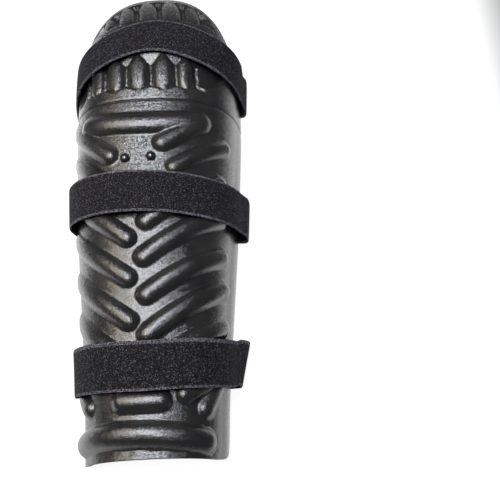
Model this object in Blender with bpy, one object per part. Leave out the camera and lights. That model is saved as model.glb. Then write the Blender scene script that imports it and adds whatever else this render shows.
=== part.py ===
"""Left riot shin and knee guard, lying front up: one moulded shell, two rivets and three straps."""

import bmesh
import bpy
import numpy as np

MM = 0.001

# Driving sizes in millimetres. Along runs from the foot end to the knee rim, across from the front line.
LENGTH = 482.0
HALF_WIDTH = 85.0
HEIGHT = 78.0
WALL = 4.5
RIB_HEIGHT = 5.5
GROOVE_DEPTH = 5.0
STRAP_WIDTH = 41.0
STRAP_THICKNESS = 2.0
HEAD_HEIGHT = 3.6
SHANK_RADIUS = 1.6
TAIL_RADIUS = 3.4
TAIL_THICKNESS = 1.0

# Ribs and rivet heads follow the width, so that they stay clear of each other.
RIB_HALF_WIDTH = 0.106 * HALF_WIDTH
HEAD_RADIUS = 0.055 * HALF_WIDTH

# Clearances: rivet shank in the shell, its head over it and its tail below it, strap over the highest rib,
# strap end over the layer that it laps, and the shell's side edges over the straps.
GAP = 0.3
HEAD_GAP = 0.6
TAIL_GAP = 0.8
STRAP_GAP = 1.2
LAP_GAP = 0.4
EDGE_GAP = 1.0

STRAP_LIFT = STRAP_GAP + STRAP_THICKNESS / 2
EDGE_Z = STRAP_THICKNESS + EDGE_GAP

# Below the shell: half length of the lapped ends, the run in which the upper end rises over the lower one,
# the length of each bend at a side, and the heights at which the cloth turns in on the left and on the right.
LAP_HALF = 30.0
LAP_RISE = 14.0
BEND = 8.0
LEFT_TURN = 12.0
RIGHT_TURN = 20.0

# Reach of the measured slopes of the surface, along.
NORMAL_REACH = 3.0


def table(columns, rows):
    """Columns of lengths by name, from rows of shares of the size that each column follows."""
    return {name: np.array(shares) * size for (name, size), shares in zip(columns, zip(*rows))}


# The shell without its ribs: its half width at the side edges, its height and the sideways lean of its front.
ROUNDNESS = 2.5
SECTIONS = table(
    (("along", LENGTH), ("half_width", HALF_WIDTH), ("height", HEIGHT), ("lean", HALF_WIDTH)),
    [
        (0, 0.724, 0.78, 0.008),
        (0.12, 0.759, 0.805, -0.012),
        (0.27, 0.829, 0.845, -0.042),
        (0.415, 0.899, 0.885, -0.072),
        (0.56, 0.954, 0.905, -0.082),
        (0.675, 0.989, 0.95, -0.072),
        (0.77, 0.999, 1, -0.037),
        (0.83, 0.994, 0.968, -0.002),
        (0.89, 0.954, 0.89, 0.018),
        (0.95, 0.889, 0.73, 0.018),
        (1, 0.829, 0.55, 0.008),
    ],
)

# The rim curves from the side edges up to the knee, lower on the right than on the left.
RIM_SIDE = 0.726 * LENGTH
RIM_POWERS = (0.8, 1.15)

# The foot end bows out towards both sides and has a small rounded corner on the left, a large one on the right.
FOOT_BOW = 4.0
CORNERS_ACROSS = (30.0, 38.0)
CORNERS_ALONG = (9.0, 22.0)

# Raised ribs: the middles of both round ends, the bow of the middle towards the knee, half width, and the
# height at the inner end and at the outer one.
RIBS = table(
    (
        ("across_in", HALF_WIDTH),
        ("along_in", LENGTH),
        ("across_out", HALF_WIDTH),
        ("along_out", LENGTH),
        ("bow", RIB_HALF_WIDTH),
        ("half_width", RIB_HALF_WIDTH),
        ("height", RIB_HEIGHT),
        ("outer_height", RIB_HEIGHT),
    ),
    [
        (-0.80, 0.031, 0.55, 0.026, 0.6, 1.2, 1.2, 1.2),
        (-0.69, 0.089, -0.90, 0.124, 0.0, 0.9, 0.9, 0.9),
        (-0.27, 0.093, 0.115, 0.093, 0.0, 1.0, 1.0, 1.0),
        (0.355, 0.103, 0.80, 0.138, 0.0, 0.95, 0.9, 0.9),
        (0.57, 0.078, 0.72, 0.116, 0.0, 0.9, 0.9, 0.9),
        (-0.19, 0.158, -0.90, 0.250, 0.0, 1.0, 1.0, 0.45),
        (-0.18, 0.232, -0.92, 0.329, 0.0, 1.0, 1.0, 0.45),
        (-0.19, 0.311, -0.93, 0.409, 0.0, 1.0, 1.0, 0.45),
        (-0.19, 0.387, -0.93, 0.491, 0.0, 1.0, 1.0, 0.45),
        (-0.20, 0.471, -0.93, 0.574, 0.0, 1.0, 1.0, 0.45),
        (-0.40, 0.562, -1.06, 0.658, 0.0, 1.0, 1.0, 0.45),
        (0.00, 0.143, 0.84, 0.226, 0.35, 1.05, 1.0, 1.0),
        (0.00, 0.207, 0.86, 0.297, 0.35, 1.05, 1.0, 1.0),
        (0.00, 0.278, 0.86, 0.360, 0.4, 1.05, 1.0, 1.0),
        (-0.02, 0.349, 0.86, 0.438, 0.4, 1.05, 1.0, 1.0),
        (0.01, 0.419, 0.86, 0.512, 0.3, 1.0, 1.0, 1.0),
        (0.32, 0.533, 0.95, 0.595, 0.2, 0.95, 0.9, 0.9),
        (0.19, 0.585, 0.62, 0.632, 0.0, 1.1, 1.0, 1.0),
        (-0.68, 0.638, 0.62, 0.637, -0.45, 1.25, 1.0, 1.0),
    ],
)
RIB_FLATNESS = 2.2
RIB_FADE = 0.8

# A sharp fold below the knee: its depth and its reach to both sides.
CREASE = 0.6825 * LENGTH
CREASE_DEPTH = 1.5
CREASE_REACH = 2.6

# Two rows of grooves part the knee into rounded ribs. Each groove ends at the knee side in a ramp.
GROOVES = np.array([-0.80, -0.55, -0.28, 0.01, 0.305, 0.55]) * HALF_WIDTH
GROOVE_SLANT = 0.12
LOW_GROOVES = (0.710 * LENGTH, 0.795 * LENGTH)
HIGH_GROOVES = 0.888 * LENGTH
HIGH_MIDDLE = 0.935 * LENGTH
RIM_BAND = 8.0
GROOVE_HALF_WIDTH = 1.8
GROOVE_ROUND = 8.0
LOW_RAMP = 12.0
LOW_FLARE = 9.0
HIGH_RAMP = 6.0
HIGH_FLARE = 2.5
END_LENGTH = 6.0
END_FLARE = 3.5
END_WALL = 3.5
END_BOW = 0.05

# The wall that is left under the deepest groove, and the run past the crease in which the inner side turns in for it.
GROOVE_FLOOR = 1.5
FLOOR_RUN = 12.0

# Sunk fields at both sides of the lower grooves: inner and outer side, start, and how far the start bows.
FIELDS = table(
    (("inner", HALF_WIDTH), ("outer", HALF_WIDTH), ("start", LENGTH), ("bow", HALF_WIDTH)),
    [(0.55, 1.07, 0.714, 0.21), (-0.83, -1.10, 0.702, 0.0)],
)
FIELD_WALL = 3.0
FIELD_FADE = 11.0
FIELD_START = 5.0
FIELD_DEPTH = 4.0

RIVET_NAMES = ("rivet_left", "rivet_right")
RIVETS = table((("across", HALF_WIDTH), ("along", LENGTH)), [(-0.221, 0.554), (0.065, 0.556)])

# Straps: place along at the front line, on both slopes and at both side edges, the slack on the right
# at both edges of the cloth, the height of the ribs below, and how far the knee side stands off.
STRAP_NAMES = ("strap_bottom", "strap_middle", "strap_top")
STRAPS = table(
    (
        ("front", LENGTH),
        ("left", LENGTH),
        ("right", LENGTH),
        ("left_edge", LENGTH),
        ("right_edge", LENGTH),
        ("slack_low", STRAP_WIDTH),
        ("slack_high", STRAP_WIDTH),
        ("ribs", RIB_HEIGHT),
        ("tilt", RIB_HEIGHT),
    ),
    [
        (0.1495, 0.1525, 0.156, 0.160, 0.169, 0.05, 0.19, 1.0, 0.0),
        (0.476, 0.477, 0.465, 0.482, 0.466, 0.045, 0.045, 1.0, 0.0),
        (0.841, 0.801, 0.804, 0.748, 0.775, 0.05, 0.10, 0.2, 0.4),
    ],
)
SLOPE_AT = 0.69 * HALF_WIDTH
HUG_START = 0.95 * HALF_WIDTH
HUG_END = 1.20 * HALF_WIDTH
FRONT_STATIONS = 40
EDGE_STATIONS = (3, -4)


def smooth_step(value):
    value = np.clip(value, 0, 1)
    return value * value * (3 - 2 * value)


def section(along, column):
    """A size of the section at any place along, on a smooth curve through the table."""
    rows = SECTIONS["along"]
    values = SECTIONS[column]
    slopes = np.gradient(values, rows)
    low = np.clip(np.searchsorted(rows, along) - 1, 0, len(rows) - 2)
    gap = rows[low + 1] - rows[low]
    t = (along - rows[low]) / gap
    bend = slopes[low] * t * (1 - t) ** 2 - slopes[low + 1] * t**2 * (1 - t)
    return values[low] * (1 + 2 * t) * (1 - t) ** 2 + values[low + 1] * t**2 * (3 - 2 * t) + gap * bend


def smooth_surface(angle, along):
    """Point of the shell without ribs, at an angle from the front line and a place along."""
    power = 2 / ROUNDNESS
    side = np.sign(np.sin(angle)) * np.abs(np.sin(angle)) ** power
    rise = np.abs(np.cos(angle)) ** power
    x = section(along, "half_width") * side + section(along, "lean") * rise
    z = EDGE_Z + (section(along, "height") - EDGE_Z) * rise
    return np.stack([x, along + 0 * angle, z], axis=-1)


def arc(angle, along):
    """Signed length across the shell from its front line."""
    share = np.linspace(0, 1, 40)
    steps = smooth_surface(angle[..., None] * share, along[..., None] + 0 * share)
    length = np.linalg.norm(np.diff(steps, axis=-2), axis=-1).sum(axis=-1)
    return np.sign(angle) * length


def normal(angle, along):
    step = 0.03
    low = np.clip(angle - step, -np.pi / 2, np.pi / 2)
    high = np.clip(angle + step, -np.pi / 2, np.pi / 2)
    across = smooth_surface(high, along) - smooth_surface(low, along)
    lengthwise = smooth_surface(angle, along + NORMAL_REACH) - smooth_surface(angle, along - NORMAL_REACH)
    found = np.cross(across, lengthwise)
    return found / np.linalg.norm(found, axis=-1, keepdims=True)


def even_angles(count):
    """Angles that share the arc of the middle section evenly, from the left edge to the right one."""
    angle = np.linspace(-np.pi / 2, np.pi / 2, 721)
    length = arc(angle, LENGTH / 2 + 0 * angle)
    return np.interp(np.linspace(length[0], length[-1], count + 1), length, angle)


def rim_y(angle):
    power = np.where(angle < 0, *RIM_POWERS)
    return RIM_SIDE + (LENGTH - RIM_SIDE) * np.abs(np.cos(angle)) ** power


def foot_y(angle):
    """The foot end bows out to both sides, with its two corners rounded."""
    edge = arc(np.array([np.pi / 2]), np.array([0.0]))[0]
    reach = np.abs(arc(angle, 0 * angle))
    wide = np.where(angle < 0, *CORNERS_ACROSS)
    long = np.where(angle < 0, *CORNERS_ALONG)
    into = np.clip(reach - edge + wide, 0, wide) / wide
    return long * (1 - np.sqrt(1 - into**2)) - FOOT_BOW * (reach / edge) ** 2


def rib_height(across, along):
    height = np.zeros_like(across)
    for x0, y0, x1, y1, bow, half_width, top, outer in zip(*RIBS.values()):
        dx = x1 - x0
        dy = y1 - y0
        share = 0.5
        for _ in range(2):
            straight = along - 4 * bow * share * (1 - share)
            share = np.clip(((across - x0) * dx + (straight - y0) * dy) / (dx * dx + dy * dy), 0, 1)
        straight = along - 4 * bow * share * (1 - share)
        far = np.hypot(across - x0 - share * dx, straight - y0 - share * dy) / half_width
        rise = top + (outer - top) * share**2
        height = np.maximum(height, rise * (1 - np.minimum(far, 1) ** RIB_FLATNESS) ** RIB_FADE)
    return height


def groove_depth(off, along, start, end, length, flare):
    """Depth of one groove, from 0 to 1, at a distance off its middle line."""
    ramp = np.clip((along - end + length + 2) / length, 0, 1)
    foot = np.clip((start + END_LENGTH - along) / END_LENGTH, 0, 1) ** 2
    floor = GROOVE_HALF_WIDTH + flare * ramp + END_FLARE * foot
    up = np.clip((off - floor) / GROOVE_ROUND, 0, 1)
    depth = 1 - np.sqrt(1 - (1 - up) ** 2)
    depth = depth * smooth_step((along - start + END_BOW * off**2) / END_WALL)
    return depth * np.clip((end - along) / length, 0, 1)


def knee_depth(across, along, rim):
    """Depth of the grooves and of the two sunk side fields of the knee."""
    start, end = LOW_GROOVES
    cut = np.zeros_like(across)
    for groove in GROOVES:
        off = np.abs(across - groove + GROOVE_SLANT * (along - (start + end) / 2))
        cut = np.maximum(cut, groove_depth(off, along, start, end, LOW_RAMP, LOW_FLARE))
        off = np.abs(across - groove + GROOVE_SLANT * (along - HIGH_MIDDLE))
        high = groove_depth(off, along, HIGH_GROOVES, rim - RIM_BAND, HIGH_RAMP, HIGH_FLARE)
        cut = np.maximum(cut, high)
    cut = cut * GROOVE_DEPTH
    for inner, outer, begin, bow in zip(*FIELDS.values()):
        side = np.sign(inner)
        into = side * (across - inner)
        left = side * (outer - across)
        begin = begin + bow * (np.clip(into - 2 * FIELD_WALL, 0, None) / (0.32 * HALF_WIDTH)) ** 2
        depth = smooth_step(into / FIELD_WALL) * smooth_step(left / FIELD_FADE)
        depth = depth * smooth_step((along - begin) / FIELD_START) * np.clip((end + 4 - along) / LOW_RAMP, 0, 1)
        cut = np.maximum(cut, FIELD_DEPTH * depth)
    return cut


def crease(along):
    """Depth of the fold below the knee, with a rounded shoulder on both sides."""
    near = 1 - np.clip(np.abs(along - CREASE) / CREASE_REACH, 0, 1)
    return CREASE_DEPTH * (1 - np.sqrt(1 - near**2))


def wall(along):
    """Depth of the inner side: more from the crease on, so that a wall is left under the grooves."""
    more = max(0, GROOVE_DEPTH + GROOVE_FLOOR - WALL)
    return WALL + crease(along) + more * smooth_step((along - CREASE) / FLOOR_RUN + 0.5)


def shell_height(across, along, rim):
    """How far the outer side stands above the smooth surface."""
    return rib_height(across, along) - knee_depth(across, along, rim) - crease(along)


# How fine the faceted shell is. Its inner side has half the steps, so both counts of steps are even.
ACROSS_STEPS = 48
SHIN_ROWS = 54
CREASE_ROWS = (-9.0, -5.0, -2.0, 0.0, 2.0, 5.0, 10.0)
KNEE_ROWS = 22
CREASE_MARGIN = 15.0
STRAP_LEVELS = (-1.0, -0.5, 0.0, 0.5, 1.0)
ROUND_STEPS = 20
HOLE_REACH = 3.0

# Moves the guard so that the middle of its bounding box is at the origin.
SHIFT = np.array([-1.9, -LENGTH / 2 + 1.0, 0.0])


def angle_at(across, along):
    angle = np.linspace(-np.pi / 2, np.pi / 2, 721)
    return np.interp(across, arc(angle, along + 0 * angle), angle)


def body(name, points, faces, colour, roughness):
    """Object with its own material, from points in millimetres."""
    mesh = bpy.data.meshes.new(name)
    moved = (np.asarray(points) + SHIFT) * MM
    mesh.from_pydata([tuple(p) for p in moved], [], [tuple(map(int, f)) for f in faces])
    shape = bmesh.new()
    shape.from_mesh(mesh)
    bmesh.ops.recalc_face_normals(shape, faces=shape.faces)
    bmesh.ops.triangulate(shape, faces=shape.faces)
    shape.to_mesh(mesh)
    shape.free()
    material = bpy.data.materials.new(name)
    material.use_nodes = True
    shader = material.node_tree.nodes["Principled BSDF"]
    shader.inputs["Base Color"].default_value = (*colour, 1)
    shader.inputs["Roughness"].default_value = roughness
    mesh.materials.append(material)
    made = bpy.data.objects.new(name, mesh)
    bpy.context.scene.collection.objects.link(made)
    return made


def grid_faces(index):
    corners = (index[:-1, :-1], index[1:, :-1], index[1:, 1:], index[:-1, 1:])
    return np.stack([c.ravel() for c in corners], axis=1).tolist()


def shell():
    angles = even_angles(ACROSS_STEPS)
    foot = foot_y(angles)
    rows = np.concatenate([np.linspace(0, CREASE - CREASE_MARGIN, SHIN_ROWS), CREASE + np.array(CREASE_ROWS)])
    low = foot + rows[:, None] * (1 - foot / rows[-1])
    share = np.linspace(0, 1, KNEE_ROWS + 1)[1:, None]
    high = rows[-1] + share * (rim_y(angles) - rows[-1])
    along = np.vstack([low, high])
    angle = np.broadcast_to(angles, along.shape)
    base = smooth_surface(angle, along)
    out = normal(angle, along)
    across = arc(angle, along)
    rim = np.broadcast_to(rim_y(angles), along.shape)
    raised = shell_height(across, along, rim)
    outer = base + out * raised[..., None]
    inner = (base - out * wall(along)[..., None])[::2, ::2]
    outer_index = np.arange(outer.shape[0] * outer.shape[1]).reshape(outer.shape[:2])
    inner_index = outer_index.size + np.arange(inner.shape[0] * inner.shape[1]).reshape(inner.shape[:2])
    faces = grid_faces(outer_index) + grid_faces(inner_index)
    edges = (
        (outer_index[0], inner_index[0]),
        (outer_index[-1], inner_index[-1]),
        (outer_index[:, 0], inner_index[:, 0]),
        (outer_index[:, -1], inner_index[:, -1]),
    )
    for fine, coarse in edges:
        for k in range(len(coarse) - 1):
            first, middle, last = fine[2 * k : 2 * k + 3]
            faces += [
                (first, middle, coarse[k]),
                (middle, coarse[k + 1], coarse[k]),
                (middle, last, coarse[k + 1]),
            ]
    points = np.vstack([outer.reshape(-1, 3), inner.reshape(-1, 3)])
    return body("shell", points, faces, (0.012, 0.012, 0.013), 0.35)


def turned(profile, centre, axis):
    """Points and faces of a profile of radius and height turned about an axis."""
    axis = axis / np.linalg.norm(axis)
    first = np.cross(axis, (0, 1, 0))
    first = first / np.linalg.norm(first)
    second = np.cross(axis, first)
    turn = np.linspace(0, 2 * np.pi, ROUND_STEPS, endpoint=False)
    points = [centre + axis * profile[0][1]]
    for radius, height in profile[1:-1]:
        ring = np.cos(turn)[:, None] * first + np.sin(turn)[:, None] * second
        points += list(centre + axis * height + radius * ring)
    points.append(centre + axis * profile[-1][1])
    faces = []
    rings = len(profile) - 2
    for k in range(ROUND_STEPS):
        after = (k + 1) % ROUND_STEPS
        faces.append((0, 1 + after, 1 + k))
        for ring in range(rings - 1):
            start = 1 + ring * ROUND_STEPS
            faces.append((start + k, start + after, start + ROUND_STEPS + after, start + ROUND_STEPS + k))
        start = 1 + (rings - 1) * ROUND_STEPS
        faces.append((len(points) - 1, start + k, start + after))
    return np.array(points), faces


def rivet(name, across, along, guard):
    """Domed head outside, plain shank through a hole in the shell, flat tail inside."""
    angle = np.array([angle_at(across, along)])
    foot = smooth_surface(angle, np.array([along]))[0]
    axis = normal(angle, np.array([along]))[0]
    head_start = HEAD_GAP
    tail_top = -WALL - TAIL_GAP
    head = [
        (HEAD_RADIUS * np.cos(rise), head_start + HEAD_HEIGHT * np.sin(rise))
        for rise in np.radians(np.linspace(0, 80, 6))
    ]
    profile = [
        (0, tail_top - TAIL_THICKNESS),
        (TAIL_RADIUS, tail_top - TAIL_THICKNESS),
        (TAIL_RADIUS, tail_top),
        (SHANK_RADIUS, tail_top),
        (SHANK_RADIUS, head_start),
        *head,
        (0, head_start + HEAD_HEIGHT),
    ]
    body(name, *turned(profile, foot, axis), (0.02, 0.02, 0.02), 0.15)
    radius = SHANK_RADIUS + GAP
    hole = [(0, -WALL - HOLE_REACH), (radius, -WALL - HOLE_REACH), (radius, HOLE_REACH), (0, HOLE_REACH)]
    cutter = body(name + "_hole", *turned(hole, foot, axis), (0.5, 0.5, 0.5), 0.5)
    cutter.hide_render = True
    cutter.display_type = "WIRE"
    cut = guard.modifiers.new(name, "BOOLEAN")
    cut.operation = "DIFFERENCE"
    cut.solver = "EXACT"
    cut.object = cutter


def rounded(points, turns):
    """Polyline with its corners cut, ends kept."""
    for _ in range(turns):
        cut = [points[0]]
        for a, b in zip(points[:-1], points[1:]):
            cut += [0.75 * a + 0.25 * b, 0.25 * a + 0.75 * b]
        points = np.array(cut + [points[-1]])
    return points


def softened(values, turns):
    for _ in range(turns):
        values = np.concatenate([values[:1], (values[:-2] + values[1:-1] + values[2:]) / 3, values[-1:]])
    return values


def strap_row(place, level):
    """Middle line of the cloth at one level of its width, from -1 at the foot side to 1 at the knee side."""
    offset = level * STRAP_WIDTH / 2
    angles = even_angles(FRONT_STATIONS)
    reach = arc(angles, place["front"] + 0 * angles)
    marks = (reach[0], -SLOPE_AT, 0, SLOPE_AT, reach[-1])
    values = [place[key] for key in ("left_edge", "left", "front", "right", "right_edge")]
    centre = softened(np.interp(reach, marks, values), 6)
    hug = smooth_step((-reach - HUG_START) / (HUG_END - HUG_START))
    lift = STRAP_LIFT + place["ribs"] * (1 - hug) + place["tilt"] * (level + 1) / 2
    over = smooth_surface(angles, centre + offset) + normal(angles, centre + offset) * lift[:, None]
    over = over[slice(*EDGE_STATIONS), ::2]
    centre = centre[slice(*EDGE_STATIONS)]
    left_x = STRAP_LIFT + section(place["left_edge"] + offset, "half_width")
    right_x = STRAP_LIFT + place["ribs"] + section(place["right_edge"] + offset, "half_width")
    slack = place["slack_low"] + (place["slack_high"] - place["slack_low"]) * (level + 1) / 2
    flat = STRAP_THICKNESS / 2
    lap = 3 * flat + LAP_GAP
    start = [
        (LAP_HALF, lap),
        (-LAP_HALF, lap),
        (-LAP_HALF - LAP_RISE, flat),
        (BEND - left_x, flat),
        (-left_x, flat),
        (-left_x, LEFT_TURN),
    ]
    end = [
        (right_x, RIGHT_TURN),
        (right_x + slack, LEFT_TURN),
        (right_x + slack, flat),
        (right_x - BEND, flat),
        (0, flat),
        (STRAP_THICKNESS - LAP_HALF, flat),
    ]
    start = rounded(np.array(start, float), 2)
    end = rounded(np.array(end, float), 2)
    path = np.vstack([start, over, end])
    share = np.clip((path[:, 0] + left_x) / (left_x + right_x), 0, 1)
    along = place["left_edge"] + (place["right_edge"] - place["left_edge"]) * share
    along[len(start) : len(start) + len(over)] = centre
    return path, along + offset


def strap(name, place):
    """Band of cloth all round the shell, open at its two ends, which lap flat below the shell."""
    outer = []
    inner = []
    for level in STRAP_LEVELS:
        path, along = strap_row(place, level)
        tangent = np.gradient(path, axis=0)
        tangent /= np.linalg.norm(tangent, axis=1, keepdims=True)
        side = np.stack([-tangent[:, 1], tangent[:, 0]], axis=1) * STRAP_THICKNESS / 2
        for rows, sign in ((outer, 1), (inner, -1)):
            flat = path + sign * side
            rows.append(np.stack([flat[:, 0], along, flat[:, 1]], axis=1))
    outer = np.array(outer)
    inner = np.array(inner)
    top = np.arange(outer.shape[0] * outer.shape[1]).reshape(outer.shape[:2])
    low = top + top.size
    faces = grid_faces(top) + grid_faces(low)
    for a, b in ((top[0], low[0]), (top[-1], low[-1]), (top[:, 0], low[:, 0]), (top[:, -1], low[:, -1])):
        for k in range(len(a) - 1):
            faces.append((a[k], a[k + 1], b[k + 1], b[k]))
    body(name, np.vstack([outer.reshape(-1, 3), inner.reshape(-1, 3)]), faces, (0.02, 0.02, 0.022), 0.9)


for old in list(bpy.data.objects):
    bpy.data.objects.remove(old)
guard = shell()
for name, across, along in zip(RIVET_NAMES, *RIVETS.values()):
    rivet(name, across, along, guard)
for row, name in enumerate(STRAP_NAMES):
    strap(name, {column: values[row] for column, values in STRAPS.items()})
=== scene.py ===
import math

import bpy
import numpy as np
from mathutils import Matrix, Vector


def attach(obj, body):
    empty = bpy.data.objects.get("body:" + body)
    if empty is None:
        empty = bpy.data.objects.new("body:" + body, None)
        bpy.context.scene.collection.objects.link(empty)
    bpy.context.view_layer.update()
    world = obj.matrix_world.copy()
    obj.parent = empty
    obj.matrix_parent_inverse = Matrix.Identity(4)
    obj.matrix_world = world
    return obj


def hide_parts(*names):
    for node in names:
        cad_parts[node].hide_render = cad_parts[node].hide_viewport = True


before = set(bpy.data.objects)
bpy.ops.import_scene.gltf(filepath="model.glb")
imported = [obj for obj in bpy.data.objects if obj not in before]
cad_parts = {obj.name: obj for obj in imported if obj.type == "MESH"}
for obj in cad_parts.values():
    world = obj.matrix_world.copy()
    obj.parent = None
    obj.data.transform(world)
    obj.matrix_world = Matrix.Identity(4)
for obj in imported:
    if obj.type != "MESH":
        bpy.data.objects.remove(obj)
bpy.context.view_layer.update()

MM = 0.001

# Driving sizes in millimetres. Along runs from the foot end to the knee rim, across from the front line.
LENGTH = 482.0
HALF_WIDTH = 85.0
HEIGHT = 78.0
WALL = 4.5
RIB_HEIGHT = 5.5
GROOVE_DEPTH = 5.0
STRAP_WIDTH = 41.0
STRAP_THICKNESS = 2.0
HEAD_HEIGHT = 3.6
SHANK_RADIUS = 1.6
TAIL_RADIUS = 3.4
TAIL_THICKNESS = 1.0

# Ribs and rivet heads follow the width, so that they stay clear of each other.
RIB_HALF_WIDTH = 0.106 * HALF_WIDTH
HEAD_RADIUS = 0.055 * HALF_WIDTH

# Clearances: a rivet's head over the shell and its tail below it, strap over the highest rib, strap end over
# the layer that it laps, and the shell's side edges over the straps.
HEAD_GAP = 0.6
TAIL_GAP = 0.8
STRAP_GAP = 1.2
LAP_GAP = 0.4
EDGE_GAP = 1.0

STRAP_LIFT = STRAP_GAP + STRAP_THICKNESS / 2
EDGE_Z = STRAP_THICKNESS + EDGE_GAP

# Below the shell: half length of the lapped ends, the run in which the upper end rises over the lower one,
# the length of each bend at a side, and the heights at which the cloth turns in on the left and on the right.
LAP_HALF = 30.0
LAP_RISE = 14.0
BEND = 8.0
LEFT_TURN = 12.0
RIGHT_TURN = 20.0

# Reach of the measured slopes of the surface, along.
NORMAL_REACH = 3.0


def table(columns, rows):
    """Columns of lengths by name, from rows of shares of the size that each column follows."""
    return {name: np.array(shares) * size for (name, size), shares in zip(columns, zip(*rows))}


# The shell without its ribs: its half width at the side edges, its height and the sideways lean of its front.
ROUNDNESS = 2.5
SECTIONS = table(
    (("along", LENGTH), ("half_width", HALF_WIDTH), ("height", HEIGHT), ("lean", HALF_WIDTH)),
    [
        (0, 0.724, 0.78, 0.008),
        (0.12, 0.759, 0.805, -0.012),
        (0.27, 0.829, 0.845, -0.042),
        (0.415, 0.899, 0.885, -0.072),
        (0.56, 0.954, 0.905, -0.082),
        (0.675, 0.989, 0.95, -0.072),
        (0.77, 0.999, 1, -0.037),
        (0.83, 0.994, 0.968, -0.002),
        (0.89, 0.954, 0.89, 0.018),
        (0.95, 0.889, 0.73, 0.018),
        (1, 0.829, 0.55, 0.008),
    ],
)

# The rim curves from the side edges up to the knee, lower on the right than on the left.
RIM_SIDE = 0.726 * LENGTH
RIM_POWERS = (0.8, 1.15)

# The foot end bows out towards both sides, with a small rounded corner on the left and a large one on the
# right.
FOOT_BOW = 4.0
CORNERS_ACROSS = (30.0, 38.0)
CORNERS_ALONG = (9.0, 22.0)

# Raised ribs: the middles of both round ends, the bow of the middle towards the knee, half width, and the
# height at the inner end and at the outer one.
RIBS = table(
    (
        ("across_in", HALF_WIDTH),
        ("along_in", LENGTH),
        ("across_out", HALF_WIDTH),
        ("along_out", LENGTH),
        ("bow", RIB_HALF_WIDTH),
        ("half_width", RIB_HALF_WIDTH),
        ("height", RIB_HEIGHT),
        ("outer_height", RIB_HEIGHT),
    ),
    [
        (-0.80, 0.031, 0.55, 0.026, 0.6, 1.2, 1.2, 1.2),
        (-0.69, 0.089, -0.90, 0.124, 0.0, 0.9, 0.9, 0.9),
        (-0.27, 0.093, 0.115, 0.093, 0.0, 1.0, 1.0, 1.0),
        (0.355, 0.103, 0.80, 0.138, 0.0, 0.95, 0.9, 0.9),
        (0.57, 0.078, 0.72, 0.116, 0.0, 0.9, 0.9, 0.9),
        (-0.19, 0.158, -0.90, 0.250, 0.0, 1.0, 1.0, 0.45),
        (-0.18, 0.232, -0.92, 0.329, 0.0, 1.0, 1.0, 0.45),
        (-0.19, 0.311, -0.93, 0.409, 0.0, 1.0, 1.0, 0.45),
        (-0.19, 0.387, -0.93, 0.491, 0.0, 1.0, 1.0, 0.45),
        (-0.20, 0.471, -0.93, 0.574, 0.0, 1.0, 1.0, 0.45),
        (-0.40, 0.562, -1.06, 0.658, 0.0, 1.0, 1.0, 0.45),
        (0.00, 0.143, 0.84, 0.226, 0.35, 1.05, 1.0, 1.0),
        (0.00, 0.207, 0.86, 0.297, 0.35, 1.05, 1.0, 1.0),
        (0.00, 0.278, 0.86, 0.360, 0.4, 1.05, 1.0, 1.0),
        (-0.02, 0.349, 0.86, 0.438, 0.4, 1.05, 1.0, 1.0),
        (0.01, 0.419, 0.86, 0.512, 0.3, 1.0, 1.0, 1.0),
        (0.32, 0.533, 0.95, 0.595, 0.2, 0.95, 0.9, 0.9),
        (0.19, 0.585, 0.62, 0.632, 0.0, 1.1, 1.0, 1.0),
        (-0.68, 0.638, 0.62, 0.637, -0.45, 1.25, 1.0, 1.0),
    ],
)
RIB_FLATNESS = 2.2
RIB_FADE = 0.8

# A sharp fold below the knee: its depth and its reach to both sides.
CREASE = 0.6825 * LENGTH
CREASE_DEPTH = 1.5
CREASE_REACH = 2.6

# Two rows of grooves part the knee into rounded ribs. Each groove ends at the knee side in a ramp.
GROOVES = np.array([-0.80, -0.55, -0.28, 0.01, 0.305, 0.55]) * HALF_WIDTH
GROOVE_SLANT = 0.12
LOW_GROOVES = (0.710 * LENGTH, 0.795 * LENGTH)
HIGH_GROOVES = 0.888 * LENGTH
HIGH_MIDDLE = 0.935 * LENGTH
RIM_BAND = 8.0
GROOVE_HALF_WIDTH = 1.8
GROOVE_ROUND = 8.0
LOW_RAMP = 12.0
LOW_FLARE = 9.0
HIGH_RAMP = 6.0
HIGH_FLARE = 2.5
END_LENGTH = 6.0
END_FLARE = 3.5
END_WALL = 3.5
END_BOW = 0.05

# The wall that is left under the deepest groove, and the run over the crease in which the inner side turns
# in for it.
GROOVE_FLOOR = 1.5
FLOOR_RUN = 12.0

# Sunk fields at both sides of the lower grooves: inner and outer side, start, and how far the start bows.
FIELDS = table(
    (("inner", HALF_WIDTH), ("outer", HALF_WIDTH), ("start", LENGTH), ("bow", HALF_WIDTH)),
    [(0.55, 1.07, 0.714, 0.21), (-0.83, -1.10, 0.702, 0.0)],
)
FIELD_WALL = 3.0
FIELD_FADE = 11.0
FIELD_START = 5.0
FIELD_DEPTH = 4.0
FIELD_PAST = 4.0

RIVET_NAMES = ("rivet_left", "rivet_right")
RIVETS = table((("across", HALF_WIDTH), ("along", LENGTH)), [(-0.221, 0.554), (0.065, 0.556)])

# Straps: place along at the front line, on both slopes and at both side edges, the slack on the right
# at both edges of the cloth, the height of the ribs below, and how far the knee side stands off.
STRAP_NAMES = ("strap_bottom", "strap_middle", "strap_top")
STRAPS = table(
    (
        ("front", LENGTH),
        ("left", LENGTH),
        ("right", LENGTH),
        ("left_edge", LENGTH),
        ("right_edge", LENGTH),
        ("slack_low", STRAP_WIDTH),
        ("slack_high", STRAP_WIDTH),
        ("ribs", RIB_HEIGHT),
        ("tilt", RIB_HEIGHT),
    ),
    [
        (0.1495, 0.1525, 0.156, 0.160, 0.169, 0.05, 0.19, 1.0, 0.0),
        (0.476, 0.477, 0.465, 0.482, 0.466, 0.045, 0.045, 1.0, 0.0),
        (0.841, 0.801, 0.804, 0.748, 0.775, 0.05, 0.10, 0.2, 0.4),
    ],
)
SLOPE_AT = 0.69 * HALF_WIDTH
HUG_START = 0.95 * HALF_WIDTH
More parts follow.
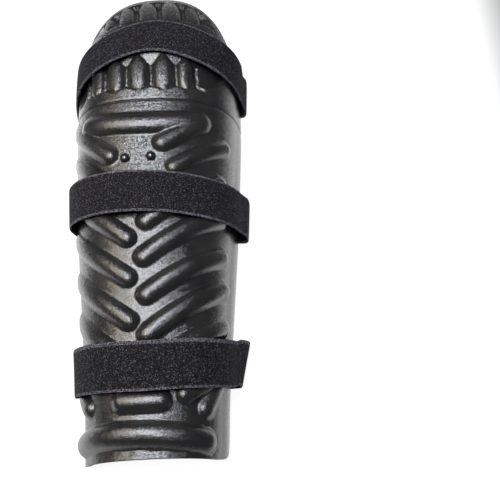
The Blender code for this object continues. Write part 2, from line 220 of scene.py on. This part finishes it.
HUG_END = 1.20 * HALF_WIDTH
FRONT_STATIONS = 40
EDGE_STATIONS = (3, -4)


def smooth_step(value):
    value = np.clip(value, 0, 1)
    return value * value * (3 - 2 * value)


def section(along, column):
    """A size of the section at any place along, on a smooth curve through the table."""
    rows = SECTIONS["along"]
    values = SECTIONS[column]
    slopes = np.gradient(values, rows)
    low = np.clip(np.searchsorted(rows, along) - 1, 0, len(rows) - 2)
    gap = rows[low + 1] - rows[low]
    t = (along - rows[low]) / gap
    bend = slopes[low] * t * (1 - t) ** 2 - slopes[low + 1] * t**2 * (1 - t)
    return values[low] * (1 + 2 * t) * (1 - t) ** 2 + values[low + 1] * t**2 * (3 - 2 * t) + gap * bend


def smooth_surface(angle, along):
    """Point of the shell without ribs, at an angle from the front line and a place along."""
    power = 2 / ROUNDNESS
    side = np.sign(np.sin(angle)) * np.abs(np.sin(angle)) ** power
    rise = np.abs(np.cos(angle)) ** power
    x = section(along, "half_width") * side + section(along, "lean") * rise
    z = EDGE_Z + (section(along, "height") - EDGE_Z) * rise
    return np.stack([x, along + 0 * angle, z], axis=-1)


def arc(angle, along):
    """Signed length across the shell from its front line."""
    share = np.linspace(0, 1, 40)
    steps = smooth_surface(angle[..., None] * share, along[..., None] + 0 * share)
    length = np.linalg.norm(np.diff(steps, axis=-2), axis=-1).sum(axis=-1)
    return np.sign(angle) * length


def normal(angle, along):
    step = 0.03
    low = np.clip(angle - step, -np.pi / 2, np.pi / 2)
    high = np.clip(angle + step, -np.pi / 2, np.pi / 2)
    across = smooth_surface(high, along) - smooth_surface(low, along)
    lengthwise = smooth_surface(angle, along + NORMAL_REACH) - smooth_surface(angle, along - NORMAL_REACH)
    found = np.cross(across, lengthwise)
    return found / np.linalg.norm(found, axis=-1, keepdims=True)


def even_angles(count):
    """Angles that share the arc of the middle section evenly, from the left edge to the right one."""
    angle = np.linspace(-np.pi / 2, np.pi / 2, 721)
    length = arc(angle, LENGTH / 2 + 0 * angle)
    return np.interp(np.linspace(length[0], length[-1], count + 1), length, angle)


def rim_y(angle):
    power = np.where(angle < 0, *RIM_POWERS)
    return RIM_SIDE + (LENGTH - RIM_SIDE) * np.abs(np.cos(angle)) ** power


def foot_y(angle):
    """The foot end bows out to both sides, with its two corners rounded."""
    edge = arc(np.array([np.pi / 2]), np.array([0.0]))[0]
    reach = np.abs(arc(angle, 0 * angle))
    wide = np.where(angle < 0, *CORNERS_ACROSS)
    long = np.where(angle < 0, *CORNERS_ALONG)
    into = np.clip(reach - edge + wide, 0, wide) / wide
    return long * (1 - np.sqrt(1 - into**2)) - FOOT_BOW * (reach / edge) ** 2


def rib_height(across, along):
    height = np.zeros_like(across)
    for x0, y0, x1, y1, bow, half_width, top, outer in zip(*RIBS.values()):
        dx = x1 - x0
        dy = y1 - y0
        share = 0.5
        for _ in range(2):
            straight = along - 4 * bow * share * (1 - share)
            share = np.clip(((across - x0) * dx + (straight - y0) * dy) / (dx * dx + dy * dy), 0, 1)
        straight = along - 4 * bow * share * (1 - share)
        far = np.hypot(across - x0 - share * dx, straight - y0 - share * dy) / half_width
        rise = top + (outer - top) * share**2
        height = np.maximum(height, rise * (1 - np.minimum(far, 1) ** RIB_FLATNESS) ** RIB_FADE)
    return height


def groove_depth(off, along, start, end, length, flare):
    """Depth of one groove, from 0 to 1, at a distance off its middle line."""
    ramp = np.clip((along - end + length + 2) / length, 0, 1)
    foot = np.clip((start + END_LENGTH - along) / END_LENGTH, 0, 1) ** 2
    floor = GROOVE_HALF_WIDTH + flare * ramp + END_FLARE * foot
    up = np.clip((off - floor) / GROOVE_ROUND, 0, 1)
    depth = 1 - np.sqrt(1 - (1 - up) ** 2)
    depth = depth * smooth_step((along - start + END_BOW * off**2) / END_WALL)
    return depth * np.clip((end - along) / length, 0, 1)


def knee_depth(across, along, rim):
    """Depth of the grooves and of the two sunk side fields of the knee."""
    start, end = LOW_GROOVES
    cut = np.zeros_like(across)
    for groove in GROOVES:
        off = np.abs(across - groove + GROOVE_SLANT * (along - (start + end) / 2))
        cut = np.maximum(cut, groove_depth(off, along, start, end, LOW_RAMP, LOW_FLARE))
        off = np.abs(across - groove + GROOVE_SLANT * (along - HIGH_MIDDLE))
        high = groove_depth(off, along, HIGH_GROOVES, rim - RIM_BAND, HIGH_RAMP, HIGH_FLARE)
        cut = np.maximum(cut, high)
    cut = cut * GROOVE_DEPTH
    for inner, outer, begin, bow in zip(*FIELDS.values()):
        side = np.sign(inner)
        into = side * (across - inner)
        left = side * (outer - across)
        begin = begin + bow * (np.clip(into - 2 * FIELD_WALL, 0, None) / (0.32 * HALF_WIDTH)) ** 2
        depth = smooth_step(into / FIELD_WALL) * smooth_step(left / FIELD_FADE)
        depth = depth * smooth_step((along - begin) / FIELD_START)
        depth = depth * np.clip((end + FIELD_PAST - along) / LOW_RAMP, 0, 1)
        cut = np.maximum(cut, FIELD_DEPTH * depth)
    return cut


def crease(along):
    """Depth of the fold below the knee, with a rounded shoulder on both sides."""
    near = 1 - np.clip(np.abs(along - CREASE) / CREASE_REACH, 0, 1)
    return CREASE_DEPTH * (1 - np.sqrt(1 - near**2))


def wall(along):
    """Depth of the inner side: more from the crease on, so that a wall is left under the grooves."""
    more = max(0, GROOVE_DEPTH + GROOVE_FLOOR - WALL)
    return WALL + crease(along) + more * smooth_step((along - CREASE) / FLOOR_RUN + 0.5)


def shell_height(across, along, rim):
    """How far the outer side stands above the smooth surface."""
    return rib_height(across, along) - knee_depth(across, along, rim) - crease(along)


# Steps of the shell's mesh across and along, the share of them below the knee, and the rows that follow the
# fold, in reaches of the crease.
SHELL_GRID = ((200, 360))
LOW_SHARE = 0.66
FOLD_ROWS = np.array([-3, -1.4, -1, -0.7, -0.45, -0.25, -0.1, 0, 0.1, 0.25, 0.45, 0.7, 1, 1.4])

# Levels of each strap's mesh over its width, close together at both bound edges, the level from which the
# cloth thins towards an edge, and the rows that each bound edge takes up, counted from the foot side and from
# the knee side, where the bottom strap has one more.
CLOTH_LEVELS = np.concatenate([[-1, -0.97], np.linspace(-0.9, 0.75, 12), [0.83, 0.9, 0.97, 1]])
THIN_FROM = 0.94
BOUND_ROWS = (2, 4)

# Sides of a rivet, and the angle up to which its dome is round.
RIVET_SIDES = 48
DOME_ANGLE = 84

# From the part's own lengths to the row frame.
SHIFT = np.array([-1.9, -LENGTH / 2 + 1.0, 0.0])

# The camera stands over the foot end, to the right of the guard. The guard's place and turn are in its axes.
CAMERA_MM = (0.0, 0.0, 560.0)
CAMERA_TILT = 21.5
GUARD_MM = (-79.5, 19.6)
GUARD_TURN = 2.5
FOCAL_PIXELS = 600.0
IMAGE_PIXELS = 500.0


def from_camera_frame(point):
    """A place in the camera's axes, as a place in the row frame, in metres."""
    turn = math.radians(GUARD_TURN)
    dx = point[0] - GUARD_MM[0]
    dy = point[1] - GUARD_MM[1]
    x = dx * math.cos(turn) + dy * math.sin(turn)
    y = dy * math.cos(turn) - dx * math.sin(turn)
    return Vector(((x + SHIFT[0]) * MM, (y + SHIFT[1]) * MM, point[2] * MM))


lens = bpy.data.cameras.new("camera")
lens.sensor_width = 36.0
lens.lens = lens.sensor_width * FOCAL_PIXELS / IMAGE_PIXELS
camera = bpy.data.objects.new("camera", lens)
camera.location = from_camera_frame(CAMERA_MM)
camera.rotation_euler = (math.radians(CAMERA_TILT), 0, math.radians(-GUARD_TURN))
bpy.context.scene.collection.objects.link(camera)
bpy.context.scene.camera = camera


def angle_at(across, along):
    angle = np.linspace(-np.pi / 2, np.pi / 2, 721)
    return np.interp(across, arc(angle, along + 0 * angle), angle)


def moved(points):
    return (np.asarray(points, float) + SHIFT) * MM


def piece(name, points, faces, materials):
    mesh = bpy.data.meshes.new(name)
    mesh.from_pydata([tuple(p) for p in moved(points)], [], [tuple(map(int, f)) for f in faces])
    mesh.validate()
    mesh.polygons.foreach_set("use_smooth", [True] * len(mesh.polygons))
    for material in materials:
        mesh.materials.append(material)
    made = bpy.data.objects.new(name, mesh)
    bpy.context.scene.collection.objects.link(made)
    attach(made, "root")
    return made


def grid_faces(index):
    corners = (index[:-1, :-1], index[1:, :-1], index[1:, 1:], index[:-1, 1:])
    return np.stack([c.ravel() for c in corners], axis=1)


class Nodes:
    """Short way to build a material's node tree."""

    def __init__(self, name):
        self.material = bpy.data.materials.new(name)
        self.material.use_nodes = True
        self.tree = self.material.node_tree
        self.shader = self.tree.nodes["Principled BSDF"]

    def add(self, kind, **settings):
        node = self.tree.nodes.new(kind)
        for key, value in settings.items():
            setattr(node, key, value)
        return node

    def link(self, output, target):
        self.tree.links.new(output, target)

    def ramp(self, value, stops):
        node = self.add("ShaderNodeValToRGB")
        node.color_ramp.elements[0].position = stops[0][0]
        node.color_ramp.elements[0].color = stops[0][1]
        node.color_ramp.elements[1].position = stops[-1][0]
        node.color_ramp.elements[1].color = stops[-1][1]
        for place, colour in stops[1:-1]:
            node.color_ramp.elements.new(place).color = colour
        self.link(value, node.inputs["Fac"])
        return node.outputs["Color"]

    def spread(self, value, *numbers):
        """Spread a value from one range, its first two numbers, over another, the last two."""
        node = self.add("ShaderNodeMapRange")
        self.link(value, node.inputs["Value"])
        for key, number in zip(("From Min", "From Max", "To Min", "To Max"), numbers):
            node.inputs[key].default_value = number
        return node.outputs["Result"]

    def join(self, operation, first, second):
        node = self.add("ShaderNodeMath", operation=operation)
        self.link(first, node.inputs[0])
        self.link(second, node.inputs[1])
        return node.outputs["Value"]

    def place(self):
        return self.add("ShaderNodeTexCoord").outputs["Object"]

    def noise(self, scale, detail=2.0):
        node = self.add("ShaderNodeTexNoise")
        node.inputs["Scale"].default_value = scale
        node.inputs["Detail"].default_value = detail
        self.link(self.place(), node.inputs["Vector"])
        return node.outputs["Fac"]

    def cells(self, scale, output, **settings):
        node = self.add("ShaderNodeTexVoronoi", **settings)
        node.inputs["Scale"].default_value = scale
        self.link(self.place(), node.inputs["Vector"])
        return node.outputs[output]

    def bump(self, height, strength, distance):
        node = self.add("ShaderNodeBump")
        node.inputs["Strength"].default_value = strength
        node.inputs["Distance"].default_value = distance
        self.link(height, node.inputs["Height"])
        self.link(node.outputs["Normal"], self.shader.inputs["Normal"])
        return node

    def set(self, target, value):
        self.shader.inputs[target].default_value = value


def grey(value, warm=0.0):
    return (value + warm, value, value - warm, 1.0)


# Grains in a metre, how far each is tilted on the front and on the steep sides, which lie flatter, and the
# heights of the surface's normal between which that changes.
GRAIN_SCALE = 850
GRAIN_TILT = 0.12
WALL_TILT = 0.03
TILT_RANGE = (0.1, 0.7)

# Middle part of a noise's values, which is spread over a material's range.
MIDDLE = (0.3, 0.7)


def shell_material():
    """Semi-gloss black moulding: flat grains of about a millimetre, each a little tilted, with creases."""
    n = Nodes("moulded_shell")
    broad = n.noise(45, 4)
    tones = [(MIDDLE[0], grey(0.008)), (MIDDLE[1], grey(0.014, 0.0005))]
    n.link(n.ramp(broad, tones), n.shader.inputs["Base Color"])
    n.link(n.spread(broad, *MIDDLE, 0.11, 0.15), n.shader.inputs["Roughness"])
    flat_normal = n.add("ShaderNodeNewGeometry").outputs["Normal"]
    facing = n.add("ShaderNodeSeparateXYZ")
    n.link(flat_normal, facing.inputs["Vector"])
    centred = n.add("ShaderNodeVectorMath", operation="SUBTRACT")
    n.link(n.cells(GRAIN_SCALE, "Color"), centred.inputs[0])
    centred.inputs[1].default_value = (0.5, 0.5, 0.5)
    tilt = n.add("ShaderNodeVectorMath", operation="SCALE")
    n.link(centred.outputs["Vector"], tilt.inputs[0])
    n.link(n.spread(facing.outputs["Z"], *TILT_RANGE, WALL_TILT, GRAIN_TILT), tilt.inputs["Scale"])
    turned_normal = n.add("ShaderNodeVectorMath", operation="ADD")
    n.link(flat_normal, turned_normal.inputs[0])
    n.link(tilt.outputs["Vector"], turned_normal.inputs[1])
    tilted = n.add("ShaderNodeVectorMath", operation="NORMALIZE")
    n.link(turned_normal.outputs["Vector"], tilted.inputs[0])
    creases = n.cells(GRAIN_SCALE, "Distance", feature="DISTANCE_TO_EDGE")
    bump = n.bump(n.spread(creases, 0.0, 0.15, 0.0, 1.0), 0.5, 0.0001)
    n.link(tilted.outputs["Vector"], bump.inputs["Normal"])
    return n.material


def edge_material():
    n = Nodes("cut_edge")
    tones = [(MIDDLE[0], (0.02, 0.016, 0.012, 1)), (MIDDLE[1], (0.05, 0.04, 0.028, 1))]
    n.link(n.ramp(n.noise(400), tones), n.shader.inputs["Base Color"])
    n.set("Roughness", 0.55)
    return n.material


def rivet_material():
    n = Nodes("rivet_gloss")
    n.link(n.spread(n.noise(500), *MIDDLE, 0.12, 0.2), n.shader.inputs["Roughness"])
    n.set("Base Color", grey(0.01))
    return n.material


# Loops and tufts of the straps in a metre, and the tufts' depth in metres.
LOOP_SCALE = 1500
FUZZ_SCALE = 900
FUZZ_DEPTH = 0.0012


def pile(value):
    """Black fabric is a little purple."""
    return (value, value * 0.95, value * 1.12, 1.0)


def strap_material(name, dark, light, share):
    """Brushed loop fabric: a dark pile with a share of loops that catch the light."""
    n = Nodes(name)
    tone = n.add("ShaderNodeSeparateColor")
    n.link(n.cells(LOOP_SCALE, "Color"), tone.inputs["Color"])
    edge = 1 - share
    stops = [(0.0, pile(0.3 * dark)), (0.5 * edge, pile(dark)), (edge, pile(3 * dark)), (1.0, pile(light))]
    n.link(n.ramp(tone.outputs["Red"], stops), n.shader.inputs["Base Color"])
    n.set("Roughness", 0.85)
    n.set("Specular IOR Level", 0.08)
    n.bump(n.noise(FUZZ_SCALE, 3), 1.0, FUZZ_DEPTH)
    return n.material


def shell(materials):
    columns, rows = SHELL_GRID
    angles = even_angles(columns)
    low_rows = int(rows * LOW_SHARE)
    foot = foot_y(angles)
    fold = CREASE + CREASE_REACH * FOLD_ROWS
    shin = np.linspace(0, fold[0], low_rows + 1)
    knee = CREASE + 2 * CREASE_REACH
    low_places = np.concatenate([shin, fold[1:], [knee]])
    low = foot + low_places[:, None] * (1 - foot / knee)
    share = np.linspace(0, 1, rows - low_rows + 1)[1:, None]
    high = knee + share * (rim_y(angles) - knee)
    along = np.vstack([low, high])
    angle = np.broadcast_to(angles, along.shape)
    base = smooth_surface(angle, along)
    out = normal(angle, along)
    across = arc(angle, along)
    rim = np.broadcast_to(rim_y(angles), along.shape)
    raised = shell_height(across, along, rim)
    outer = base + out * raised[..., None]
    inner = (base - out * wall(along)[..., None])[::2, ::2]
    total = outer.shape[0] * outer.shape[1]
    outer_index = np.arange(total).reshape(outer.shape[:2])
    inner_index = total + np.arange(inner.shape[0] * inner.shape[1]).reshape(inner.shape[:2])
    outer_faces = grid_faces(outer_index)[:, ::-1]
    inner_faces = grid_faces(inner_index)
    rim_faces = []
    edges = (
        (outer_index[0], inner_index[0], 1),
        (outer_index[-1], inner_index[-1], -1),
        (outer_index[:, 0], inner_index[:, 0], -1),
        (outer_index[:, -1], inner_index[:, -1], 1),
    )
    for fine, coarse, turn in edges:
        for k in range(len(coarse) - 1):
            first, middle, last = fine[2 * k : 2 * k + 3]
            low, high = coarse[k : k + 2]
            for face in ((first, middle, low), (middle, high, low), (middle, last, high)):
                rim_faces.append(face[::turn])
    points = np.vstack([outer.reshape(-1, 3), inner.reshape(-1, 3)])
    faces = outer_faces.tolist() + inner_faces.tolist() + rim_faces
    made = piece("moulded_shell", points, faces, materials)
    plain = len(outer_faces) + len(inner_faces)
    marks = [0] * plain + [1] * len(rim_faces)
    made.data.polygons.foreach_set("material_index", marks)
    made.data.polygons.foreach_set("use_smooth", [mark == 0 for mark in marks])
    made.data.update()
    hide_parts("shell")


def turned(profile, centre, axis, sides):
    axis = axis / np.linalg.norm(axis)
    first = np.cross(axis, (0, 1, 0))
    first = first / np.linalg.norm(first)
    second = np.cross(axis, first)
    turn = np.linspace(0, 2 * np.pi, sides, endpoint=False)
    points = [centre + axis * profile[0][1]]
    for radius, height in profile[1:-1]:
        ring = np.cos(turn)[:, None] * first + np.sin(turn)[:, None] * second
        points += list(centre + axis * height + radius * ring)
    points.append(centre + axis * profile[-1][1])
    faces = []
    rings = len(profile) - 2
    for k in range(sides):
        after = (k + 1) % sides
        faces.append((0, 1 + after, 1 + k))
        for ring in range(rings - 1):
            start = 1 + ring * sides
            faces.append((start + k, start + after, start + sides + after, start + sides + k))
        start = 1 + (rings - 1) * sides
        faces.append((len(points) - 1, start + k, start + after))
    return np.array(points), faces


def rivet(name, across, along, material):
    angle = np.array([angle_at(across, along)])
    foot = smooth_surface(angle, np.array([along]))[0]
    axis = normal(angle, np.array([along]))[0]
    low = HEAD_GAP
    turns = np.radians(np.linspace(0, DOME_ANGLE, 15))
    head = [(HEAD_RADIUS * math.cos(a), low + HEAD_HEIGHT * math.sin(a)) for a in turns]
    tail_top = -WALL - TAIL_GAP
    profile = [(0, tail_top - TAIL_THICKNESS), (TAIL_RADIUS, tail_top - TAIL_THICKNESS)]
    profile += [(TAIL_RADIUS, tail_top), (SHANK_RADIUS, tail_top), (SHANK_RADIUS, low)]
    profile += head + [(0, low + HEAD_HEIGHT)]
    made = piece(name + "_dome", *turned(profile, foot, axis, RIVET_SIDES), [material])
    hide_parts(name)


def rounded(points, turns):
    """Polyline with its corners cut, ends kept."""
    for _ in range(turns):
        cut = [points[0]]
        for a, b in zip(points[:-1], points[1:]):
            cut += [0.75 * a + 0.25 * b, 0.25 * a + 0.75 * b]
        points = np.array(cut + [points[-1]])
    return points


def softened(values, turns):
    for _ in range(turns):
        values = np.concatenate([values[:1], (values[:-2] + values[1:-1] + values[2:]) / 3, values[-1:]])
    return values


def strap_row(place, level):
    """Middle line of the cloth at a level of its width, from -1 at the foot side to 1 at the knee side."""
    offset = level * STRAP_WIDTH / 2
    angles = even_angles(FRONT_STATIONS)
    reach = arc(angles, place["front"] + 0 * angles)
    marks = (reach[0], -SLOPE_AT, 0, SLOPE_AT, reach[-1])
    values = [place[key] for key in ("left_edge", "left", "front", "right", "right_edge")]
    centre = softened(np.interp(reach, marks, values), 6)
    hug = smooth_step((-reach - HUG_START) / (HUG_END - HUG_START))
    lift = STRAP_LIFT + place["ribs"] * (1 - hug) + place["tilt"] * (level + 1) / 2
    over = smooth_surface(angles, centre + offset) + normal(angles, centre + offset) * lift[:, None]
    over = over[slice(*EDGE_STATIONS), ::2]
    centre = centre[slice(*EDGE_STATIONS)]
    left_x = STRAP_LIFT + section(place["left_edge"] + offset, "half_width")
    right_x = STRAP_LIFT + place["ribs"] + section(place["right_edge"] + offset, "half_width")
    slack = place["slack_low"] + (place["slack_high"] - place["slack_low"]) * (level + 1) / 2
    flat = STRAP_THICKNESS / 2
    lap = 3 * flat + LAP_GAP
    start = [
        (LAP_HALF, lap),
        (-LAP_HALF, lap),
        (-LAP_HALF - LAP_RISE, flat),
        (BEND - left_x, flat),
        (-left_x, flat),
        (-left_x, LEFT_TURN),
    ]
    end = [
        (right_x, RIGHT_TURN),
        (right_x + slack, LEFT_TURN),
        (right_x + slack, flat),
        (right_x - BEND, flat),
        (0, flat),
        (STRAP_THICKNESS - LAP_HALF, flat),
    ]
    start = rounded(np.array(start, float), 2)
    end = rounded(np.array(end, float), 2)
    path = np.vstack([start, over, end])
    share = np.clip((path[:, 0] + left_x) / (left_x + right_x), 0, 1)
    along = place["left_edge"] + (place["right_edge"] - place["left_edge"]) * share
    along[len(start) : len(start) + len(over)] = centre
    return path, along + offset


def strap(name, values, materials):
    outer = []
    inner = []
    lengths = []
    for level in CLOTH_LEVELS:
        path, along = strap_row(values, level)
        for _ in range(2):
            path = rounded(path, 1)
            along = rounded(along, 1)
        tangent = np.gradient(path, axis=0)
        tangent /= np.linalg.norm(tangent, axis=1, keepdims=True)
        into_edge = max(0, (abs(level) - THIN_FROM) / (1 - THIN_FROM))
        thin = STRAP_THICKNESS / 2 * (1 - 0.5 * into_edge**2)
        side = np.stack([-tangent[:, 1], tangent[:, 0]], axis=1) * thin
        lengths.append(np.linalg.norm(np.diff(np.column_stack([path, along]), axis=0), axis=1).sum())
        for rows, sign in ((outer, 1), (inner, -1)):
            flat = path + sign * side
            rows.append(np.stack([flat[:, 0], along, flat[:, 1]], axis=1))
    outer = np.array(outer)
    inner = np.array(inner)
    rows, stations = outer.shape[:2]
    top = np.arange(rows * stations).reshape(rows, stations)
    low = top + rows * stations
    faces = grid_faces(top)[:, ::-1].tolist() + grid_faces(low).tolist()
    edges = (
        (top[0], low[0], 1),
        (top[-1], low[-1], -1),
        (top[:, 0], low[:, 0], -1),
        (top[:, -1], low[:, -1], 1),
    )
    for a, b, turn in edges:
        for k in range(len(a) - 1):
            faces.append((a[k], a[k + 1], b[k + 1], b[k])[::turn])
    points = np.vstack([outer.reshape(-1, 3), inner.reshape(-1, 3)])
    made = piece(name + "_cloth", points, faces, materials)
    row_of = np.minimum(np.array([face[0] for face in faces]) % (rows * stations) // stations, rows - 2)
    foot_rows, knee_rows = BOUND_ROWS
    if name == STRAP_NAMES[0]:
        knee_rows += 1
    selvage = (row_of < foot_rows) | (row_of > rows - knee_rows)
    made.data.polygons.foreach_set("material_index", selvage.astype(int).tolist())
    made.data.update()
    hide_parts(name)
    flat = (STRAP_WIDTH * MM, float(np.mean(lengths)) * MM)


shell([shell_material(), edge_material()])
gloss = rivet_material()
for name, across, along in zip(RIVET_NAMES, *RIVETS.values()):
    rivet(name, across, along, gloss)
cloth = [
    strap_material("loop_fabric", 0.0052, 0.07, 0.12),
    strap_material("loop_selvage", 0.022, 0.14, 0.3),
]
for row, name in enumerate(STRAP_NAMES):
    strap(name, {column: values[row] for column, values in STRAPS.items()}, cloth)

# The floor in metres: its half size and how far it lies under the straps.
FLOOR_HALF = 2.5
FLOOR_DROP = 0.0003

# Glow of the floor, each as a range of places in metres and the strengths at its two ends. Along, it fades
# towards the knee end and stops behind it. Across, it is strong at the left and in a band at the right.
GLOW_ALONG = (-0.05, 0.32, 2.8, 0.95)
GLOW_STOP = (0.34, 0.4, 1.0, 0.0)
BAND_START = (0.095, 0.11, 0.93, 2.8)
BAND_END = (0.15, 0.175, 2.8, 0.93)
GLOW_LEFT = (-0.12, -0.1, 2.0, 0.93)
GLOW_RIGHT_STOP = (0.36, 0.42, 1.0, 0.0)


def floor_material():
    n = Nodes("floor")
    n.set("Base Color", (0.12, 0.12, 0.12, 1))
    n.set("Roughness", 0.9)
    n.set("Emission Color", (1, 1, 1, 1))
    split = n.add("ShaderNodeSeparateXYZ")
    n.link(n.place(), split.inputs["Vector"])
    x = split.outputs["X"]
    y = split.outputs["Y"]
    along = n.join("MULTIPLY", n.spread(y, *GLOW_ALONG), n.spread(y, *GLOW_STOP))
    band = n.join("MINIMUM", n.spread(x, *BAND_START), n.spread(x, *BAND_END))
    across = n.join("MAXIMUM", band, n.spread(x, *GLOW_LEFT))
    across = n.join("MULTIPLY", across, n.spread(x, *GLOW_RIGHT_STOP))
    n.link(n.join("MINIMUM", along, across), n.shader.inputs["Emission Strength"])
    return n.material


mesh = bpy.data.meshes.new("floor")
corners = [(x * FLOOR_HALF, y * FLOOR_HALF, 0) for x, y in ((-1, -1), (1, -1), (1, 1), (-1, 1))]
mesh.from_pydata(corners, [], [(0, 1, 2, 3)])
mesh.materials.append(floor_material())
floor = bpy.data.objects.new("floor", mesh)
floor.location.z = -FLOOR_DROP
bpy.context.scene.collection.objects.link(floor)


def area_light(name, x, y, height, size, power, colour):
    """A rectangular light that shines straight down."""
    data = bpy.data.lights.new(name, "AREA")
    data.shape = "RECTANGLE"
    data.size, data.size_y = size
    data.energy = power
    data.color = colour
    made = bpy.data.objects.new(name, data)
    made.location = (x, y, height)
    made.rotation_euler = Vector((0, 0, -height)).to_track_quat("-Z", "Y").to_euler()
    bpy.context.scene.collection.objects.link(made)


# A wide soft window above, cool over the guard and warmer to its left.
area_light("window", -0.21, 0.22, 1.5, (0.5, 1.15), 44, (0.88, 0.92, 1.0))
area_light("warm_window", -0.93, 0.22, 1.5, (0.94, 1.15), 24, (1.0, 0.89, 0.66))

world = bpy.data.worlds.new("world")
world.use_nodes = True
background = world.node_tree.nodes["Background"]
background.inputs["Color"].default_value = (0.92, 0.86, 1.0, 1)
background.inputs["Strength"].default_value = 0.14
bpy.context.scene.world = world
bpy.context.scene.view_settings.view_transform = "Standard"
